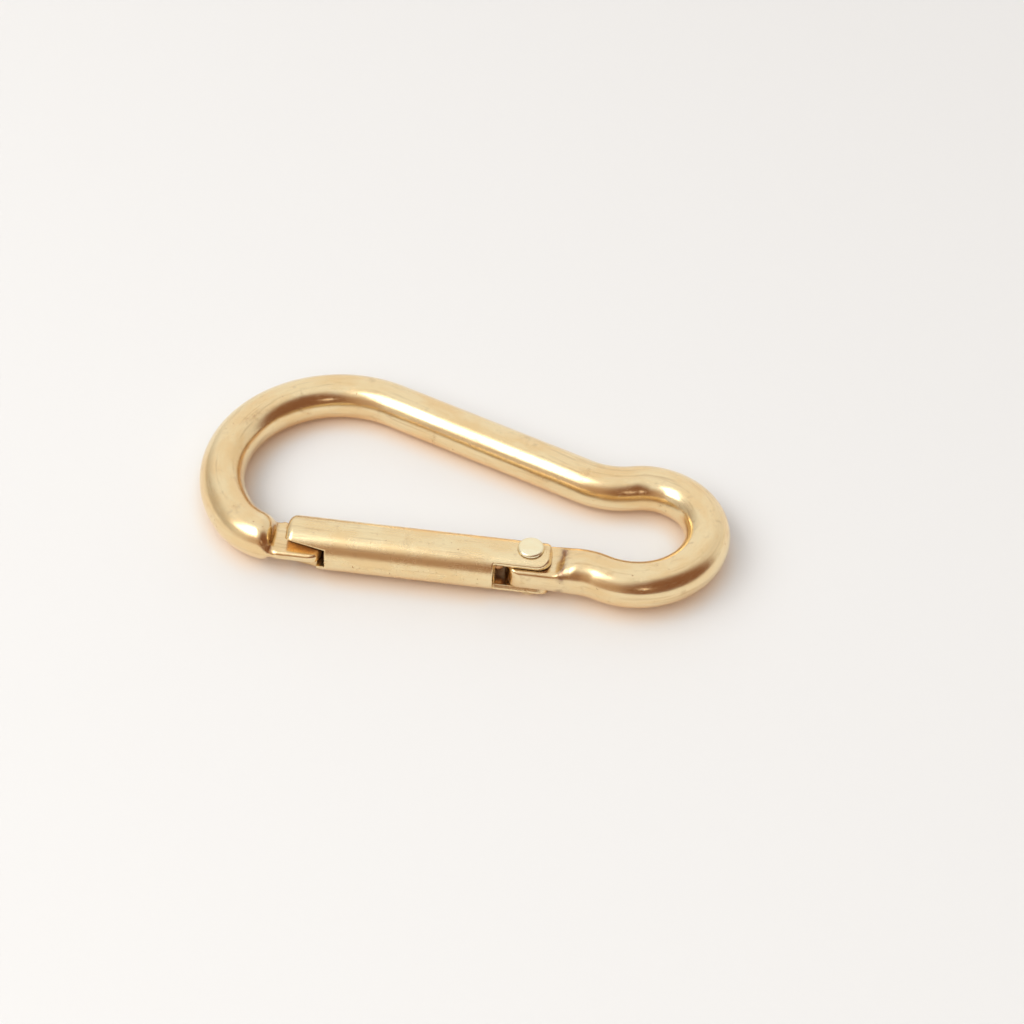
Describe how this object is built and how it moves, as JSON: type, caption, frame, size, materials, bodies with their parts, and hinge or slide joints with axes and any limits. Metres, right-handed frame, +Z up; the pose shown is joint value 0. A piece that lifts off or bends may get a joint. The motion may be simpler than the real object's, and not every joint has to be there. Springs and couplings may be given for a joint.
{
  "type": "snap hook",
  "caption": "Pear-shaped snap hook bent from round brass bar, with a small eye at the narrow end and a sprung gate that swings inwards on a rivet.",
  "frame": {"origin": "centre of the bounding box, on the bar's centre plane", "axes": "+X from the big loop towards the small eye, +Y from the gate towards the spine, +Z up, square to the plane of the bar"},
  "size_m": [0.0716, 0.0352, 0.0076],
  "materials": {
    "polished_brass": "polished, lightly tarnished",
    "satin_brass": "satin",
    "rivet_brass": "satin",
    "plunger_brass": "plain turned",
    "spring_steel": "drawn wire"
  },
  "bodies": {
    "frame": {"body": "polished_brass"},
    "gate": {"gate": "satin_brass", "hinge_rivet": "rivet_brass", "spring": "spring_steel"},
    "plunger": {"plunger": "plunger_brass"}
  },
  "joints": [
    {"name": "gate_hinge", "type": "hinge", "parent": "frame", "child": "gate", "pos_m": [0.01031, -0.01343, 0], "axis": [0, 0, -1], "range_deg": [0, 42], "stiffness_Nm_per_rad": 0.02},
    {"name": "plunger_slide", "type": "slide", "parent": "gate", "child": "plunger", "axis": [-1, 0, 0], "range_m": [0, 0.00105], "deforming": ["spring"]}
  ],
  "couplings": [
    {"joint": "plunger_slide", "follows": "gate_hinge", "m_per_rad": 0.0014}
  ]
}
